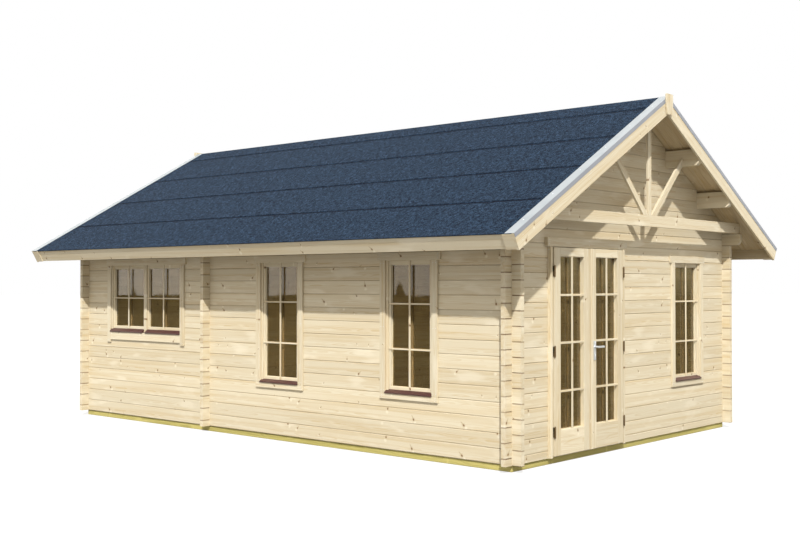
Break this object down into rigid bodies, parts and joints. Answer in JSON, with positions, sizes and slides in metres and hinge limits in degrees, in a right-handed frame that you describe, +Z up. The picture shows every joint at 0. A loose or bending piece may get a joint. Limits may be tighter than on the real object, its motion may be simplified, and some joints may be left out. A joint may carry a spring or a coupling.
{
  "type": "log cabin",
  "caption": "Gable-roofed log cabin of interlocked machined logs with glazed double doors, framed windows, an open gable truss and a felt roof.",
  "frame": {"origin": "on the ground at the middle of the cabin's plan", "axes": "+Z up, the front gable with the doors faces -Y, X across the cabin"},
  "size_m": [5.2362, 7.452, 3.5277],
  "materials": {
    "spruce_logs": "planed, untreated",
    "planed_spruce": "planed, untreated",
    "roof_boards": "planed boards",
    "floor_boards": "planed boards",
    "impregnated_beams": "pressure-impregnated",
    "roof_felt": "mineral-faced bitumen felt",
    "verge_metal": "pale coated sheet",
    "window_glass": "clear",
    "drip_sill_stain": "red-brown stain",
    "hinge_metal": "dark coated steel",
    "handle_metal": "satin"
  },
  "bodies": {
    "cabin": {"left_wall_bands": "spruce_logs", "left_wall_piers": "spruce_logs", "left_wall_window_panel": "spruce_logs", "right_wall": "spruce_logs", "back_wall": "spruce_logs", "back_gable": "spruce_logs", "front_wall_left_pier": "spruce_logs", "front_wall_right_bands": "spruce_logs", "front_wall_right_piers": "spruce_logs", "front_gable": "spruce_logs", "cross_wall_sides": "spruce_logs", "cross_wall_head": "spruce_logs", "wall_plates": "spruce_logs", "ridge_purlin": "planed_spruce", "purlins": "planed_spruce", "front_barge_boards": "planed_spruce", "back_barge_boards": "planed_spruce", "peak_covers": "planed_spruce", "eaves_fascias": "planed_spruce", "tie_beam": "planed_spruce", "king_post": "planed_spruce", "struts": "planed_spruce", "window_casings": "planed_spruce", "window_frames": "planed_spruce", "window_sashes": "planed_spruce", "door_casing": "planed_spruce", "door_jambs": "planed_spruce", "door_head_and_threshold": "planed_spruce", "roof_deck_left": "roof_boards", "roof_deck_right": "roof_boards", "floor_boards": "floor_boards", "foundation_side_beams": "impregnated_beams", "foundation_cross_beams": "impregnated_beams", "roof_felt_left": "roof_felt", "roof_felt_right": "roof_felt", "ridge_felt": "roof_felt", "front_verge_trims": "verge_metal", "back_verge_trims": "verge_metal", "window_glass": "window_glass", "window_sills": "drip_sill_stain", "frame_hinges": "hinge_metal"},
    "left_door": {"left_door_leaf": "planed_spruce", "left_door_glass": "window_glass", "left_leaf_hinges": "hinge_metal"},
    "right_door": {"right_door_leaf": "planed_spruce", "right_door_glass": "window_glass", "right_leaf_hinges": "hinge_metal", "meeting_strip": "planed_spruce", "handle_plates": "handle_metal"},
    "door_lever": {"lever_handle": "handle_metal"}
  },
  "joints": [
    {"name": "left_door_hinge", "type": "hinge", "parent": "cabin", "child": "left_door", "pos_m": [-1.486, -3.351, 1.031], "axis": [0, 0, -1], "range_deg": [0, 105]},
    {"name": "right_door_hinge", "type": "hinge", "parent": "cabin", "child": "right_door", "pos_m": [-0.26, -3.351, 1.031], "axis": [0, 0, 1], "range_deg": [0, 105]},
    {"name": "lever_turn", "type": "hinge", "parent": "right_door", "child": "door_lever", "pos_m": [-0.7995, -3.37, 1.045], "axis": [0, 1, 0], "range_deg": [0, 40], "stiffness_Nm_per_rad": 0.8, "springref_deg": -28.65}
  ]
}
